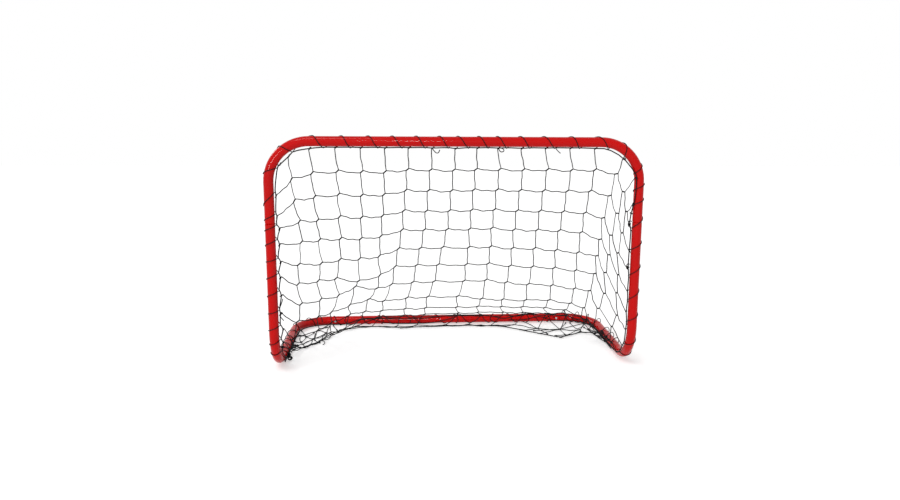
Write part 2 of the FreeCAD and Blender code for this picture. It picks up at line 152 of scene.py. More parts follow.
def make_powder_coat():
    """Gloss red powder coat on steel."""
    material, nodes, links, shader, grain = new_material(
        "red_powder_coat", scale=420.0, relief=0.00003, patch_scale=9.0
    )
    colour_between(
        nodes, links, grain.outputs["Patches"], shader.inputs["Base Color"],
        low=0.3, high=0.7, dark=(0.52, 0.0008, 0.0006), light=(0.60, 0.0016, 0.001),
    )
    value_between(nodes, links, grain.outputs["Patches"], shader.inputs["Roughness"], low=0.2, high=0.32)
    shader.inputs["Specular IOR Level"].default_value = 0.03
    shader.inputs["Coat Weight"].default_value = 0.5
    shader.inputs["Coat Roughness"].default_value = 0.045
    shader.inputs["Coat IOR"].default_value = 1.3
    return material


powder_coat = make_powder_coat()
for name in tube_nodes:
    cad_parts[name].data.materials.clear()
    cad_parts[name].data.materials.append(powder_coat)

# Spring buttons: turned steel pins, zinc plated, that stand out of a hole in each plug joint.
# Each is riveted to a V-shaped leaf of blued spring strip inside the tube.
joint_places = ["post_left", "post_right", "rail_left", "rail_right"]


def make_steel(name, dark, light, rough_low, rough_high, scale):
    """Bare or plated steel with fine working marks."""
    material, nodes, links, shader, grain = new_material(name, scale, relief=0.000005, patch_scale=60.0)
    colour_between(
        nodes, links, grain.outputs["Patches"], shader.inputs["Base Color"],
        low=0.3, high=0.7, dark=dark, light=light,
    )
    value_between(nodes, links, grain.outputs["Grain"], shader.inputs["Roughness"], rough_low, rough_high)
    shader.inputs["Metallic"].default_value = 1.0
    return material


zinc = make_steel("zinc_plate", (0.42, 0.42, 0.43), (0.55, 0.55, 0.55), 0.28, 0.45, 900.0)
blued_strip = make_steel("blued_spring_strip", (0.10, 0.12, 0.17), (0.17, 0.19, 0.25), 0.3, 0.5, 1200.0)
for place in joint_places:
    for kind, material in (("snap_button_", zinc), ("snap_spring_", blued_strip)):
        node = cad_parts[kind + place]
        node.data.materials.clear()
        node.data.materials.append(material)

# Frame lines: the centre lines that the cords and the net are laid against. The mouth line
# goes up the left post, along the crossbar and down the right post. The base line goes
# back along the left rail, across the back and forward along the right rail.
tube_radius = 12.5 * mm
bend_radius = 100 * mm
rail_low, rail_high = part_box("back_rail")
bar_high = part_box("top_frame")[1]
side_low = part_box("left_side_frame")[0]
rail_z = (rail_low.z + rail_high.z) / 2
bar_z = bar_high.z - tube_radius
post_x = bar_high.x - tube_radius
front_y = side_low.y + tube_radius
back_y = rail_high.y - tube_radius
bend_in = post_x - bend_radius
bend_length = bend_radius * math.pi / 2
post_run = bar_z - rail_z - 2 * bend_radius
side_run = back_y - front_y - 2 * bend_radius
mouth_length = 2 * post_run + 2 * bend_length + 2 * bend_in
base_length = 2 * side_run + 2 * bend_length + 2 * bend_in


def u_shape(leg, s):
    """Across, along the leg, and the heading at s on a line of two legs and two bends."""
    if s <= leg:
        return -post_x, s, 0.0
    s -= leg
    if s <= bend_length:
        turn = s / bend_radius
        return -bend_in - bend_radius * math.cos(turn), leg + bend_radius * math.sin(turn), turn
    s -= bend_length
    if s <= 2 * bend_in:
        return s - bend_in, leg + bend_radius, math.pi / 2
    s -= 2 * bend_in
    if s <= bend_length:
        turn = s / bend_radius
        return bend_in + bend_radius * math.sin(turn), leg + bend_radius * math.cos(turn), math.pi / 2 + turn
    return post_x, leg - (s - bend_length), math.pi


def mouth_line(s):
    """Centre, way ahead, outward way and face way at s along the front of the frame.

    s is 0 where the left post leaves its floor elbow. Below 0 and past the right post the
    line follows the floor elbows.
    """
    over = max(-s, s - mouth_length)
    if over <= 0:
        x, rise, turn = u_shape(post_run, s)
        place = Vector((x, front_y, rail_z + bend_radius + rise))
        ahead = Vector((math.sin(turn), 0, math.cos(turn)))
        return place, ahead, Vector((-math.cos(turn), 0, math.sin(turn))), Vector((0, -1, 0))
    side = -1 if s < 0 else 1
    angle = over / bend_radius
    away = Vector((0, -math.cos(angle), -math.sin(angle)))
    down = Vector((0, math.sin(angle), -math.cos(angle)))
    centre = Vector((side * post_x, front_y + bend_radius, rail_z + bend_radius))
    return centre + away * bend_radius, down * side, Vector((side, 0, 0)), away


def base_line(s):
    """The same for the floor rails. s is 0 where the left side rail leaves its floor elbow."""
    x, rise, turn = u_shape(side_run, s)
    place = Vector((x, front_y + bend_radius + rise, rail_z))
    ahead = Vector((math.sin(turn), math.cos(turn), 0))
    return place, ahead, Vector((-math.cos(turn), math.sin(turn), 0)), Vector((0, 0, 1))


def off_line(line, s, angle, distance):
    """A point beside a tube: angle 0 is outward, a quarter turn is to the tube's face."""
    place, ahead, out, face = line(s)
    return place + (out * math.cos(angle) + face * math.sin(angle)) * distance


# Lacing: one braided black cord, just over 2 mm thick, wound by hand in spirals round the
# tubes and over the net's edge cord. Each turn crosses the front of the tube on a slant
# from the outer side to the inner side, and goes back behind it.
cord_radius = 1.05 * mm
edge_radius = 1.5 * mm
cord_gap = 0.15 * mm
lacing_radius = tube_radius + cord_radius + cord_gap
edge_out = tube_radius + edge_radius + cord_gap
over_edge = edge_out + edge_radius + cord_radius + cord_gap
lift_angle = math.acos((lacing_radius - over_edge + edge_out) / edge_out)
points_per_half_turn = 14
bow_angle = math.radians(66)
bow_sharpness = 6
# Distances along the frame, in mm, where the lacing crosses the outer and inner side in turn
left_crossings = [
    -65, -56, -35, -20, 3, 17, 47, 57, 92, 107, 137, 152, 181, 190, 222, 238, 259, 274, 285, 303, 322, 358,
]
bar_crossings = [
    398, 424, 468, 488, 547, 572, 617, 637, 682, 704, 740, 763, 799, 820, 856, 877, 901, 927, 953, 976,
    999, 1022, 1057, 1080, 1116, 1142, 1186, 1205, 1254, 1282, 1316, 1337, 1379, 1396,
]
right_crossings = [
    1422, 1440, 1461, 1478, 1509, 1539, 1572, 1595, 1634, 1662, 1699, 1727, 1764, 1785, 1836, 1851, 1886,
    1900,
]
left_rail_crossings = [
    4, 14, 31, 38, 71, 66, 110, 99, 143, 124, 169, 200, 258, 232, 305, 322, 345, 352,
]
back_rail_crossings = [
    384, 400, 436, 424, 468, 486, 520, 545, 532, 560, 600, 630, 616, 648, 700, 722, 760, 780, 768, 800,
    842, 862,
    900, 880, 930, 950, 985, 1006, 992, 1030, 1052, 1072, 1058, 1088,
]
right_rail_crossings = [1112, 1128, 1168, 1150, 1190, 1210, 1244, 1259, 1334, 1346, 1384, 1394, 1434, 1447]


def add_string(curve, points, thickness=1.0):
    """One length of cord along its points, with a share of its curve's thickness."""
    spline = curve.splines.new("NURBS")
    spline.points.add(len(points) - 1)
    for point, place in zip(spline.points, points):
        point.co = (*place, 1.0)
        point.radius = thickness
    spline.order_u = 3
    spline.use_endpoint_u = True
    spline.resolution_u = 2


def new_curve(name, radius, roundness):
    """An empty curve that thickens into a cord: roundness 0 gives it four sides, 1 gives it six."""
    curve = bpy.data.curves.new(name, "CURVE")
    curve.dimensions = "3D"
    curve.bevel_depth = radius
    curve.bevel_resolution = roundness
    curve.use_fill_caps = True
    return curve


def to_mesh_object(curve, name, material):
    """The curve's solid form as a mesh object at the origin."""
    maker = bpy.data.objects.new(name + "_line", curve)
    bpy.context.scene.collection.objects.link(maker)
    bpy.context.view_layer.update()
    depsgraph = bpy.context.evaluated_depsgraph_get()
    mesh = bpy.data.meshes.new_from_object(maker.evaluated_get(depsgraph))
    mesh.name = name
    bpy.data.objects.remove(maker)
    bpy.data.curves.remove(curve)
    made = bpy.data.objects.new(name, mesh)
    bpy.context.scene.collection.objects.link(made)
    mesh.materials.clear()
    mesh.materials.append(material)
    for polygon in mesh.polygons:
        polygon.use_smooth = True
    return made


def make_twine(name, dark, light, rough_low, rough_high):
    """Black polyethylene: dark, faintly glossy, with the relief of its filaments."""
    material, nodes, links, shader, grain = new_material(
        name, scale=2600.0, relief=0.00012, patch_scale=140.0
    )
    colour_between(
        nodes, links, grain.outputs["Grain"], shader.inputs["Base Color"],
        low=0.25, high=0.75, dark=dark, light=light,
    )
    value_between(nodes, links, grain.outputs["Patches"], shader.inputs["Roughness"], rough_low, rough_high)
    shader.inputs["Specular IOR Level"].default_value = 0.08
    return material


def lift_over_edge(angle, edge_angle):
    """How far from the tube's centre the lacing runs: it lifts over the edge cord."""
    turned = abs((angle - edge_angle + math.pi) % (2 * math.pi) - math.pi)
    if turned >= lift_angle:
        return lacing_radius
    return min(lacing_radius / math.cos(lift_angle - turned), over_edge)


def lace(line, crossings, edge_angle_at, bow):
    """Points of a cord round a tube from a list of the places it crosses at each half turn.

    A loose turn bows up off the tube's upper outer side.
    """
    points = []
    last = len(crossings) - 1
    for i in range(last):
        for step in range(points_per_half_turn + (i == last - 1)):
            share = step / points_per_half_turn
            s = crossings[i] + (crossings[i + 1] - crossings[i]) * share
            angle = math.pi * (i + share)
            loose = bow * max(0.0, math.cos(angle - bow_angle)) ** bow_sharpness
            points.append(off_line(line, s * mm, angle, lift_over_edge(angle, edge_angle_at(s)) + loose))
    return points


lacing_material = make_twine("black_lacing_cord", (0.004, 0.004, 0.0045), (0.015, 0.015, 0.016), 0.5, 0.7)
# The net's lower edge is lashed along the floor rails: its angle round the rail, in degrees,
# from the outer side over the top, at distances along the rails in mm
rail_edge_angles = [
    (-40, 180), (20, 180), (80, 178), (140, 182), (200, 188), (240, 195), (300, 210), (360, 225), (410, 230),
    (430, 226), (446, 195), (471, 152), (498, 142), (572, 156), (630, 160), (690, 150), (738, 120),
    (782, 112),
    (844, 118), (867, 122), (898, 145), (923, 180), (964, 135), (998, 100), (1027, 96), (1056, 185),
    (1073, 140),
    (1087, 110), (1109, 88), (1125, 92), (1145, 165), (1168, 180), (1190, 155), (1215, 160), (1245, 178),
    (1290, 185), (1340, 190), (1390, 190), (1430, 185), (1485, 180),
]


# The mouth's edge cord keeps to the inner side of the tube, but is dragged over the front of
# the right bend: distance along the mouth in mm and angle in degrees
mouth_cord_start, mouth_cord_end = -150, 1950
mouth_edge_angles = [
    (mouth_cord_start, 180), (1350, 180), (1397, 132), (1440, 131), (1476, 150), (1500, 180),
    (mouth_cord_end, 180),
]


def angle_from(stops, s):
    """An edge cord's angle round its tube at a distance of s mm."""
    for (s0, a0), (s1, a1) in zip(stops, stops[1:]):
        if s <= s1:
            return math.radians(a0 + (a1 - a0) * max(0.0, (s - s0) / (s1 - s0)))
    return math.pi


def rail_edge_angle(s):
    return angle_from(rail_edge_angles, s)


def mouth_edge_angle(s):
    return angle_from(mouth_edge_angles, s)


for name, line, crossings, edge_angle_at, bow in (
    ("lacing_left_post", mouth_line, left_crossings, mouth_edge_angle, 0.0),
    ("lacing_crossbar", mouth_line, bar_crossings, mouth_edge_angle, 0.0),
    ("lacing_right_post", mouth_line, right_crossings, mouth_edge_angle, 0.0),
    ("lacing_left_rail", base_line, left_rail_crossings, rail_edge_angle, 2 * mm),
    ("lacing_back_rail", base_line, back_rail_crossings, rail_edge_angle, 0.0),
    ("lacing_right_rail", base_line, right_rail_crossings, rail_edge_angle, 7 * mm),
):
    curve = new_curve(name, cord_radius, roundness=1)
    add_string(curve, lace(line, crossings, edge_angle_at, bow))
    cord = to_mesh_object(curve, name + "_cord", lacing_material)
    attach(cord, "goal")
    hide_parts(name)

# Edge cords: the net's border, a black cord 3 mm thick. Each turn of the lacing pulls it
# hard against the inner side of the tube, and the net's own strings, tied to it in between,
# pull it off the tube again, so it runs in a zigzag down the left post.
# Ties of the net to the mouth's cord: distance along the mouth and distance off the tube, in mm
left_ties = [
    (432, 2), (350, 4), (295, 5), (266, 12), (227, 10), (182, 12), (143, 9), (98, 10), (48, 5), (7, 12),
    (-31, 9), (-80, 3), (-130, 2),
]
top_ties = [
    (476, 6), (541, 3), (602, 0.5), (662, 1), (720, 1.5), (778, 1), (836, 2), (895, 3), (951, 1), (1004, 1.5),
    (1065, 2), (1126, 1), (1188, 0.5), (1249, 1.5), (1341, 1), (1403, 0), (1476, 1),
]
right_ties = [
    (1498, 3), (1529, 6), (1594, 3), (1646, 4), (1704, 3), (1759, 4), (1803, 2), (1857, 4), (1930, 1),
]
least_apart = 5
mouth_stops = sorted(left_ties + top_ties + right_ties)
for s in left_crossings[1::2] + bar_crossings[1::2] + right_crossings[1::2]:
    if all(abs(s - other) > least_apart for other, off in mouth_stops):
        mouth_stops.append((s, 0))
mouth_stops = [(mouth_cord_start, 0)] + sorted(mouth_stops) + [(mouth_cord_end, 0)]
mouth_cord_points = [
    off_line(mouth_line, s * mm, mouth_edge_angle(s), edge_out + off * mm) for s, off in mouth_stops
]


def on_mouth_cord(tie):
    """Where the smooth cord passes a tie: a point counts six times as much as each neighbour."""
    i = mouth_stops.index(tie)
    return (mouth_cord_points[i - 1] + mouth_cord_points[i] * 6 + mouth_cord_points[i + 1]) / 8


def on_rail(s, angle, off=0.0):
    """A place on the edge cord along the floor rails."""
    return off_line(base_line, s * mm, angle, edge_out + off * mm)


loop_steps = 8
lean_per_step, lean_spread = 0.35, (-0.2, 0.2)
loop_size_spread = (0.6, 1.0)


def add_bundle(curve, centre, size, turns, seed):
    """A hand-tied knot: a few untidy loops of the cord round one point."""
    chance = random.Random(seed)
    points = []
    for step in range(turns * loop_steps + 1):
        angle = step * 2 * math.pi / loop_steps
        lean = step * lean_per_step + chance.uniform(*lean_spread)
        way = Vector((math.cos(angle), math.sin(angle) * math.cos(lean), math.sin(angle) * math.sin(lean)))
        place = centre + way * size * chance.uniform(*loop_size_spread)
        place.z = max(place.z, edge_radius)
        points.append(place)
    add_string(curve, points)


# Ends left over where the cords were tied: distance along the mouth, angle round the tube in
# degrees and distance from its centre in mm
mouth_tails = [
    [(58, 180, 15), (68, 178, 19), (78, 176, 23), (86, 175, 25)],
    [(42, 180, 15), (35, 182, 20), (28, 184, 25)],
    [(836, 180, 15), (841, 176, 22), (848, 172, 29), (854, 172, 27), (856, 176, 20)],
    [(1002, 180, 15), (1003, 178, 21), (1009, 176, 26), (1016, 178, 23), (1015, 180, 17), (1007, 182, 15)],
    [(1145, 180, 15), (1150, 176, 22), (1157, 172, 28)],
    [(1520, 170, 15), (1516, 166, 22), (1524, 164, 27), (1534, 166, 24), (1536, 172, 16)],
    [(1632, 172, 15), (1628, 168, 21), (1636, 164, 26), (1645, 168, 23), (1646, 174, 16)],
]
tail_thickness = 0.8
# Where they were tied: distance along the mouth, distance from the tube's centre, size in mm
mouth_bundles = [(-47, 19, 4), (48, 20, 3), (1529, 20, 3), (1640, 19, 3)]
curve = new_curve("edge_cord_mouth", edge_radius, roundness=1)
add_string(curve, mouth_cord_points)
for tail in mouth_tails:
    places = [off_line(mouth_line, s * mm, math.radians(angle), far * mm) for s, angle, far in tail]
    add_string(curve, places, tail_thickness)
for seed, (s, far, size) in enumerate(mouth_bundles):
    add_bundle(curve, off_line(mouth_line, s * mm, math.pi, far * mm), size * mm, turns=2, seed=seed)
mouth_cord = to_mesh_object(curve, "mouth_edge_cord", lacing_material)
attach(mouth_cord, "goal")
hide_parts("edge_cord_mouth")

# Along the rails the border is doubled where it was lashed twice: round the right corner and
# forward along the right rail, and on the middle of the back rail.
second_runs = [
    [(505, 150), (530, 196), (572, 226), (633, 234), (700, 226), (735, 186), (765, 150)],
    [(940, 190), (975, 205), (1010, 175), (1040, 140), (1066, 200), (1095, 215), (1130, 214), (1160, 205),
     (1200, 206), (1240, 208), (1290, 206), (1340, 212), (1390, 212), (1440, 205)],
    [(1225, 190), (1262, 200), (1310, 222), (1360, 226), (1405, 222), (1450, 215)],
    [(-30, 205), (20, 208), (70, 212), (120, 206), (165, 196), (210, 200), (250, 206)],
]
second_run_off, second_run_thickness = 0.2, 0.9
base_edge_curve = new_curve("edge_cord_base", edge_radius, roundness=1)
add_string(base_edge_curve, [on_rail(s, math.radians(angle)) for s, angle in rail_edge_angles])
for run in second_runs:
    places = [on_rail(s, math.radians(angle), second_run_off) for s, angle in run]
    add_string(base_edge_curve, places, second_run_thickness)
# The knots that end the lashing beside the left elbow and hold the net's lower corner:
# across, back from the posts, up and size in mm, and turns
base_bundles = [
    (-441, 98, 9, 7, 3), (-446, 112, 14, 6, 3), (-443, 200, 8, 6, 3), (-437, 212, 5, 4, 2),
    (-447, 178, 12, 5, 2),
]
first_base_seed = 20
for seed, (x, y, z, size, turns) in enumerate(base_bundles, start=first_base_seed):
    add_bundle(base_edge_curve, Vector((x * mm, y * mm + front_y, z * mm)), size * mm, turns, seed)
base_tail = [(-384, 262, 3), (-374, 262, 4), (-366, 247, 5), (-361, 232, 4), (-367, 223, 3)]
add_string(base_edge_curve, [(x * mm, y * mm + front_y, z * mm) for x, y, z in base_tail], tail_thickness)
base_cord = to_mesh_object(base_edge_curve, "base_edge_cord", lacing_material)
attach(base_cord, "goal")
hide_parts("edge_cord_base")

# Knotted net: one piece of black polyethylene net, 18 meshes wide and 13 deep, on squares of
# about 60 mm. It hangs as a loose bag from the crossbar and the posts to the floor rails. Its
# hang is worked out from the length of its strings and from the knots whose places are set.
net_random = random.Random(7)
twine_radius = 1.25 * mm
string_down = 63.6 * mm
string_across = 61.5 * mm
string_down_at_posts = 60.5 * mm
across_spread, down_spread = (0.97, 1.03), (0.98, 1.02)
columns_at_posts = 3
gap_column, gap_first_row, gap_width = 8, 5, 85 * mm
column_count, row_count = 19, 14
last_left_row, first_full_column = 12, 6
last_right_rows = 12, 11, 11
settle_steps, pulls_per_step = 400, 20
damping, weight_per_step = 0.9, 0.03 * mm
stiffness, shortest_share = 0.03, 0.85
nothing = 1e-9
# The frame stands on its lacing, this far above the level that the heights below count from
frame_lift = 2.13 * mm
# Knots that are tied, lie on the floor, or are held out by the stiff twine, by row and column:
# across, back from the posts and up, in mm. Most were read as points of the photograph and put
# where the fitted camera sees those points, at a depth or height that was chosen one by one.
set_knots = {
    (2, 1): (-407, 39, 442), (3, 1): (-397, 45, 388), (4, 1): (-394, 46, 334), (6, 1): (-405, 42, 225),
    (8, 1): (-408, 38, 127),
    (4, 2): (-348, 45, 340), (6, 2): (-355, 52, 231), (8, 2): (-361, 75, 127),
    (6, 3): (-313, 88, 228), (8, 3): (-330, 115, 128), (8, 4): (-284, 150, 137), (8, 5): (-233, 190, 143),
    (7, 10): (100, 220, 188), (7, 11): (157, 212, 182), (7, 12): (219, 203, 178), (7, 13): (288, 203, 174),
    (7, 14): (353, 196, 166),
    (8, 9): (21, 252, 132), (8, 10): (90, 240, 127), (8, 11): (152, 240, 124), (8, 12): (218, 236, 122),
    (8, 13): (288, 238, 121), (8, 14): (350, 229, 113), (8, 15): (383, 200, 107),
    (1, 15): (416, 45, 509), (3, 15): (393, 70, 390), (5, 15): (392, 112, 279), (7, 15): (391, 173, 165),
    (1, 16): (436, 41, 463), (3, 16): (415, 66, 344), (5, 16): (417, 114, 231), (7, 16): (415, 161, 116),
    (1, 17): (440, 22, 414), (3, 17): (431, 50, 299), (5, 17): (441, 78, 183), (7, 17): (441, 110, 78),
    (9, 1): (-424, 50, 76), (10, 1): (-433, 80, 40), (11, 1): (-436, 140, 16), (12, 1): (-428, 192, 3),
    (9, 2): (-366, 112, 80), (10, 2): (-386, 168, 36), (11, 2): (-403, 216, 4), (12, 2): (-413, 200, 2),
    (9, 3): (-336, 160, 85), (10, 3): (-345, 205, 42), (11, 3): (-374, 262, 4), (12, 3): (-388, 236, 2),
    (10, 4): (-306, 232, 45), (11, 4): (-344, 300, 6), (12, 4): (-353, 318, 2),
    (11, 5): (-300, 362, 6), (12, 5): (-328, 358, 2),
    (11, 6): (-208, 404, 27), (12, 6): (-240, 388, 2), (13, 6): (-275, 392, 2),
    (11, 7): (-146, 404, 27), (12, 7): (-160, 385, 2), (13, 7): (-209, 387, 2),
    (11, 8): (-80, 404, 27), (12, 8): (-100, 392, 2), (13, 8): (-143, 368, 2),
    (11, 9): (30, 404, 27), (12, 9): (-10, 392, 2), (13, 9): (-84, 377, 2),
    (11, 10): (109, 404, 27), (12, 10): (60, 392, 2), (13, 10): (-5, 384, 2),
    (11, 11): (174, 404, 27), (12, 11): (130, 380, 2), (13, 11): (72, 387, 2),
    (11, 12): (242, 404, 27), (12, 12): (207, 384, 2), (13, 12): (160, 374, 2),
    (11, 13): (315, 404, 27), (12, 13): (274, 343, 2), (13, 13): (222, 333, 2),
    (11, 14): (382, 404, 27), (12, 14): (342, 329, 2), (13, 14): (272, 293, 2),
    (11, 15): (432, 350, 27), (12, 15): (401, 321, 2), (13, 15): (330, 252, 2),
    (10, 16): (447, 212, 27), (11, 16): (440, 275, 8), (12, 16): (404, 302, 2),
    (8, 17): (447, 150, 27), (9, 17): (446, 205, 12), (10, 17): (443, 252, 3), (11, 17): (438, 284, 2),
    (9, 18): (448, 124, 26), (10, 18): (449, 182, 26), (11, 18): (449, 236, 26),
}

knots = np.zeros((row_count, column_count, 3))
held = np.zeros((row_count, column_count), bool)


def pin(row, column, place):
    knots[row, column] = place
    held[row, column] = True


for column, tie in enumerate(top_ties, start=1):
    pin(0, column, on_mouth_cord(tie))
for row, tie in enumerate(left_ties):
    pin(row, 0, on_mouth_cord(tie))
for row, tie in enumerate(right_ties):
    pin(row, column_count - 1, on_mouth_cord(tie))
# The lower left corner is tied to the side rail instead: row and distance along the rails in mm
for row, s in ((11, 30), (12, 95)):
    pin(row, 0, on_rail(s, math.pi))
for (row, column), (x, y, z) in set_knots.items():
    pin(row, column, (x * mm, y * mm + front_y, z * mm + frame_lift))

last_row = np.full(column_count, row_count - 1)
last_row[:first_full_column] = last_left_row
last_row[-len(last_right_rows) :] = last_right_rows
there = np.arange(row_count)[:, None] <= last_row[None, :]
free = ~held & there
# A first guess between the held knots, down each column
for column in range(column_count):
    rows = [row for row in range(row_count) if held[row, column]]
    for upper, lower in zip(rows, rows[1:]):
        for row in range(upper + 1, lower):
            share = (row - upper) / (lower - upper)
            knots[row, column] = knots[upper, column] * (1 - share) + knots[lower, column] * share
across = np.array([[string_across * net_random.uniform(*across_spread) for c in range(column_count - 1)]
                   for r in range(row_count)])
down = np.array([[string_down * net_random.uniform(*down_spread) for c in range(column_count)]
                 for r in range(row_count - 1)])
across[gap_first_row:, gap_column] = gap_width
down[:, 1 : 1 + columns_at_posts] = string_down_at_posts
down[:, -1 - columns_at_posts : -1] = string_down_at_posts


def pull(first, second, length, free_first, free_second):
    """Shortens each string that is too long, and eases each that is pressed short."""
    apart = second - first
    now = np.linalg.norm(apart, axis=-1, keepdims=True)
    length = length[..., None]
    over = np.maximum(now - length, 0) + stiffness * np.minimum(now - length * shortest_share, 0)
    weight = (free_first.astype(float) + free_second.astype(float))[..., None]
    share = apart * over / np.maximum(now, nothing) / np.maximum(weight, 1)
    first += share * free_first[..., None]
    second -= share * free_second[..., None]


lowest_knot = twine_radius * 1.5
net_gap = 0.3 * mm


def keep_clear(places):
    """Keeps knots above the floor and outside the floor rails."""
    places[..., 2] = np.maximum(places[..., 2], lowest_knot)
    x, y, z = places[..., 0], places[..., 1], places[..., 2]
    qx, qy = np.abs(x) - bend_in, y - (back_y - bend_radius)
    corner = (qx > 0) & (qy > 0)
    radial = np.hypot(qx, qy)
    offset = np.where(corner, radial - bend_radius, np.where(qx > qy, qx - bend_radius, qy - bend_radius))
    rise = z - rail_z
    far = np.hypot(offset, rise)
    need = tube_radius + twine_radius + net_gap
    inside = (far < need) & (y > front_y + bend_radius)
    grow = np.where(inside, need / np.maximum(far, nothing), 1.0)
    moved = offset * (grow - 1)
    away_x = np.where(corner, qx / np.maximum(radial, nothing), np.where(qx > qy, 1.0, 0.0)) * np.sign(x)
    away_y = np.where(corner, qy / np.maximum(radial, nothing), np.where(qx > qy, 0.0, 1.0))
    places[..., 0] += moved * away_x
    places[..., 1] += moved * away_y
    places[..., 2] += rise * (grow - 1)


before = knots.copy()
for step in range(settle_steps):
    moved = (knots - before) * damping
    before = knots.copy()
    knots += moved * free[..., None]
    knots[..., 2] -= free * weight_per_step * (1 - step / settle_steps)
    for again in range(pulls_per_step):
        for odd in (0, 1):
            pull(
                knots[:, odd:-1:2], knots[:, odd + 1 :: 2], across[:, odd::2],
                free[:, odd:-1:2], free[:, odd + 1 :: 2],
            )
            pull(
                knots[odd:-1:2], knots[odd + 1 :: 2], down[odd::2],
                free[odd:-1:2], free[odd + 1 :: 2],
            )
        held_places = knots[held].copy()
        keep_clear(knots)
        knots[held] = held_places

knot_reach = 4.6 * mm
knot_turn_radius = 1.5 * mm
knot_turns = 2
knot_length_share, knot_thickness = 1.7, 1.25
points_per_string = 5
most_sag = 2.5 * mm
# A slack string sags by the root of this share of its chord times its spare length
sag_share = 3 / 8
side_wave_rate, low_wave_rate, wave_spread = 9, 11, (0.4, 1.0)
# Nearer to upright than the first a string doesn't sag, and than the second it waves across
least_low, least_side = 0.2, 0.1
lowest_string = twine_radius * 1.2
net_material = make_twine("black_net_twine", (0.003, 0.003, 0.0035), (0.014, 0.014, 0.015), 0.55, 0.75)
net_curve = new_curve("net", twine_radius, roundness=0)


def unit(vector):
    """The same way with length one."""
    return vector / max(vector.length, nothing)


def knot_at(row, column):
    return Vector(knots[row, column])


def has_knot(row, column):
    return 0 <= row < row_count and 0 <= column < column_count and there[row, column]


def neighbour_way(row, column, step_row, step_column):
    """The way from a knot to its neighbour on one side, or away from the one opposite."""
    if has_knot(row + step_row, column + step_column):
        return unit(knot_at(row + step_row, column + step_column) - knot_at(row, column))
    return unit(knot_at(row, column) - knot_at(row - step_row, column - step_column))


def knot_way(row, column):
    """The slant of a knot: between the string to its right and the string above it."""
    right = neighbour_way(row, column, 0, 1) - neighbour_way(row, column, 0, -1)
    up = neighbour_way(row, column, -1, 0) - neighbour_way(row, column, 1, 0)
    return unit(unit(right) + unit(up))


def string_points(start, end, length, wave_size):
    """Points of a slack string: a light sag, with the small waves that a knotted twine keeps."""
    chord = end - start
    spare = max(0.0, length - chord.length)
    sag = min(math.sqrt(sag_share * chord.length * spare), most_sag)
    way = unit(chord)
    low = Vector((0, 0, -1)) - way * -way.z
    low = unit(low) if low.length > least_low else Vector((0, 0, 0))
    side = way.cross(Vector((0, 0, 1)))
    side = unit(side) if side.length > least_side else Vector((1, 0, 0))
    floor_limit = min(start.z, end.z, lowest_string)
    phase = net_random.uniform(0, 2 * math.pi)
    size = wave_size * net_random.uniform(*wave_spread)
    points = [start]
    for i in range(1, points_per_string + 1):
        share = i / (points_per_string + 1)
        fade = math.sin(math.pi * share)
        place = start + chord * share + low * (sag * 4 * share * (1 - share))
        side_wave = side * (fade * size * math.sin(share * side_wave_rate + phase))
        low_wave = low * (fade * size * math.sin(share * low_wave_rate + phase * 2))
        place += side_wave + low_wave
        place.z = max(place.z, floor_limit)
        points.append(place)
    points.append(end)
    return points


def add_knot(here, slant):
    """A knot: the two strings wrap round each other along the slant."""
    away = unit(slant.orthogonal())
    turned = slant.cross(away)
    turns = []
    steps = knot_turns * 4 + 1
    for i in range(steps):
        angle = i * math.pi / 2
        along = (i / (steps - 1) - 0.5) * knot_length_share * knot_reach
        round_it = away * math.cos(angle) + turned * math.sin(angle)
        turns.append(here + slant * along + round_it * knot_turn_radius)
    add_string(net_curve, turns)
    add_string(net_curve, [here - slant * knot_reach, here, here + slant * knot_reach], knot_thickness)


wave_across, wave_down = 2.2 * mm, 1.3 * mm
for row in range(row_count):
    for column in range(column_count):
        if not has_knot(row, column):
            continue
        here, slant = knot_at(row, column), knot_way(row, column)
        on_border = row == 0 or column in (0, column_count - 1)
        if has_knot(row, column + 1) and row > 0 and not (row == last_row[column] == last_row[column + 1]):
            end = knot_at(row, column + 1) - knot_way(row, column + 1) * knot_reach
            start = here + slant * knot_reach
            add_string(net_curve, string_points(start, end, across[row, column], wave_across))
        if has_knot(row + 1, column) and 0 < column < column_count - 1:
            end = knot_at(row + 1, column) + knot_way(row + 1, column) * knot_reach
            start = here - slant * knot_reach
            add_string(net_curve, string_points(start, end, down[row, column], wave_down))
        add_knot(here, slant)

# The net's bottom border lies on the floor in front of the back rail, as a thicker cord
# through the last row of knots, and runs on along both side rails.
border_angle, border_start, border_end = math.radians(150), 85, base_length / mm - 60
border_wave, border_thickness = 2.0 * mm, 1.25
bottom_knots = [knot_at(last_row[column], column) for column in range(column_count)]
bottom_points = [on_rail(border_start, border_angle)]
for start, end in zip(bottom_knots, bottom_knots[1:]):
    bottom_points.extend(string_points(start, end, 0.0, border_wave)[:-1:2])
bottom_points.append(bottom_knots[-1])
bottom_points.append(on_rail(border_end, border_angle))
add_string(net_curve, bottom_points, border_thickness)

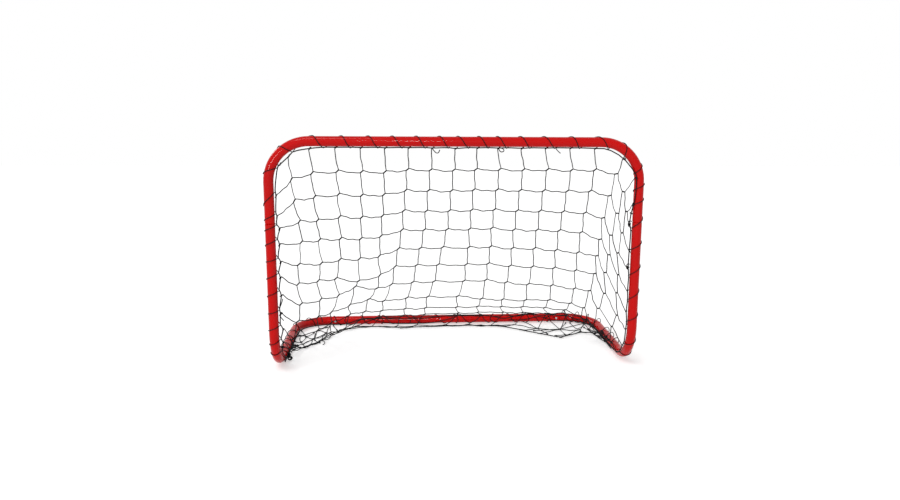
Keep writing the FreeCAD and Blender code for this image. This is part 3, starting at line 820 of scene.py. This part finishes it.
# The spare rows fold over themselves beside both side rails. Their strings lie on the floor
# where the photograph shows them: each is followed there in its pixels and put on the floor.
left_folds = [
    [(301.8, 331.1), (303.5, 333.0), (305.4, 335.4), (306.4, 336.8), (308.8, 337.8), (311.1, 339.2),
     (314.5, 338.3)],
    [(298.7, 335.2), (301.1, 335.4), (303.5, 335.4), (306.4, 336.8)],
    [(303.5, 335.4), (300.6, 336.4), (299.7, 338.3), (299.9, 340.7), (301.1, 342.1), (303.0, 341.1),
     (305.4, 338.8), (306.4, 336.8)],
    [(295.4, 341.6), (297.3, 343.1), (301.1, 342.1)],
    [(301.1, 342.1), (302.5, 344.5), (305.4, 347.1)],
    [(306.4, 336.8), (310.7, 335.4), (314.0, 333.0)],
    [(314.5, 338.3), (314.5, 335.4), (316.4, 332.1), (318.8, 330.4), (322.2, 328.7), (326.5, 327.5)],
    [(303.5, 344.0), (308.3, 341.6), (313.1, 339.2), (317.8, 337.3), (322.2, 335.4), (326.0, 333.0)],
    [(326.0, 333.0), (323.1, 331.6), (320.7, 330.6), (318.8, 330.4)],
    [(326.0, 333.0), (323.1, 335.9), (321.7, 338.3), (322.6, 339.7)],
    [(331.2, 333.5), (330.8, 336.4), (328.9, 338.8), (326.5, 339.7), (322.6, 339.5), (320.2, 341.6),
     (317.8, 343.1), (314.5, 344.7), (311.6, 344.5)],
    [(315.0, 340.2), (317.4, 342.1), (319.3, 342.6)],
    [(326.9, 333.0), (326.9, 329.2), (329.3, 326.8)],
    [(333.6, 325.8), (334.6, 327.3), (337.0, 330.1)],
    [(300.6, 347.4), (303.0, 348.6), (305.4, 347.4)],
]
right_folds = [
    [(521.6, 321.0), (529.3, 323.6), (536.9, 328.7), (547.1, 333.4)],
    [(534.4, 330.6), (548.4, 329.6), (559.9, 329.1)],
    [(549.7, 320.5), (559.9, 329.1), (565.0, 334.4)],
    [(559.9, 329.1), (565.6, 323.0)],
    [(570.1, 323.0), (573.9, 327.4), (579.0, 330.0), (585.4, 323.6)],
    [(556.0, 335.6), (567.6, 334.7), (573.9, 334.4), (580.3, 331.2)],
    [(584.1, 327.4), (593.1, 333.2), (600.7, 339.6), (605.0, 341.5)],
    [(559.9, 329.1), (572.7, 326.1), (584.1, 323.2)],
]
fold_height = 3 * mm


def on_floor(px, py):
    """The place at the folds' height that the camera sees at a point of its picture."""
    in_camera = Vector((px - optical_centre[0], optical_centre[1] - py, -focal_pixels))
    way = camera.matrix_world.to_3x3() @ in_camera
    return camera_place + way * ((fold_height - camera_place.z) / way.z)


for fold in left_folds + right_folds:
    places = [on_floor(px, py) for px, py in fold]
    add_string(net_curve, places)
    for end, inner in ((places[0], places[1]), (places[-1], places[-2])):
        add_knot(end, unit(inner - end))

net = to_mesh_object(net_curve, "knotted_net", net_material)
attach(net, "goal")
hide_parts("net_back", "net_left_side", "net_right_side", "net_floor_slack")

# Floor and backdrop: one pale sheet and a white surround. Both read as white to the camera and
# in reflections, and the floor keeps the goal's soft shadow.
floor_half = 6.0
floor_colour = (0.82, 0.82, 0.82, 1.0)
floor_glow = 0.46
world_level = 0.40


def add_seen_mask(nodes, links):
    """One where the camera or a reflection looks, and none where light is gathered."""
    path = nodes.new("ShaderNodeLightPath")
    first = nodes.new("ShaderNodeMath")
    first.operation = "MAXIMUM"
    second = nodes.new("ShaderNodeMath")
    second.operation = "MAXIMUM"
    links.new(path.outputs["Is Camera Ray"], first.inputs[0])
    links.new(path.outputs["Is Glossy Ray"], first.inputs[1])
    links.new(first.outputs["Value"], second.inputs[0])
    links.new(path.outputs["Is Transmission Ray"], second.inputs[1])
    return second.outputs["Value"]


def make_floor():
    """A pale matt floor, lifted to white where it is seen."""
    material = bpy.data.materials.new("pale_floor")
    material.use_nodes = True
    nodes, links = material.node_tree.nodes, material.node_tree.links
    shader = nodes["Principled BSDF"]
    shader.inputs["Base Color"].default_value = floor_colour
    shader.inputs["Roughness"].default_value = 0.9
    shader.inputs["Specular IOR Level"].default_value = 0.1
    shader.inputs["Emission Strength"].default_value = floor_glow
    links.new(add_seen_mask(nodes, links), shader.inputs["Emission Color"])
    return material


mesh = bmesh.new()
bmesh.ops.create_grid(mesh, x_segments=1, y_segments=1, size=floor_half)
floor_mesh = bpy.data.meshes.new("floor")
mesh.to_mesh(floor_mesh)
mesh.free()
floor = bpy.data.objects.new("floor", floor_mesh)
bpy.context.scene.collection.objects.link(floor)
floor_mesh.materials.append(make_floor())

world = bpy.data.worlds.new("studio")
bpy.context.scene.world = world
world.use_nodes = True
world_nodes, world_links = world.node_tree.nodes, world.node_tree.links
background = world_nodes["Background"]
background.inputs["Color"].default_value = (1.0, 1.0, 1.0, 1.0)
level = world_nodes.new("ShaderNodeMapRange")
level.inputs["To Min"].default_value = world_level
world_links.new(add_seen_mask(world_nodes, world_links), level.inputs["Value"])
world_links.new(level.outputs["Result"], background.inputs["Strength"])
bpy.context.scene.view_settings.view_transform = "Standard"


# Four soft lamps: two at eye height in front, one high on the left, and one behind on the left


def add_lamp(name, way, power, spread):
    """A far soft lamp that shines along a way."""
    lamp = bpy.data.lights.new(name, "SUN")
    lamp.energy = power
    lamp.angle = math.radians(spread)
    holder = bpy.data.objects.new(name, lamp)
    holder.rotation_mode = "QUATERNION"
    holder.rotation_quaternion = Vector(way).to_track_quat("-Z", "Y")
    bpy.context.scene.collection.objects.link(holder)


add_lamp("front_lamp", (0.45, 1.0, -0.10), 0.8, 12)
add_lamp("eye_lamp", (0.0, 1.0, -0.25), 0.4, 7)
add_lamp("high_lamp", (0.3, 0.5, -1.0), 0.95, 26)
add_lamp("rim_lamp", (0.69, -0.55, -0.45), 0.5, 16)
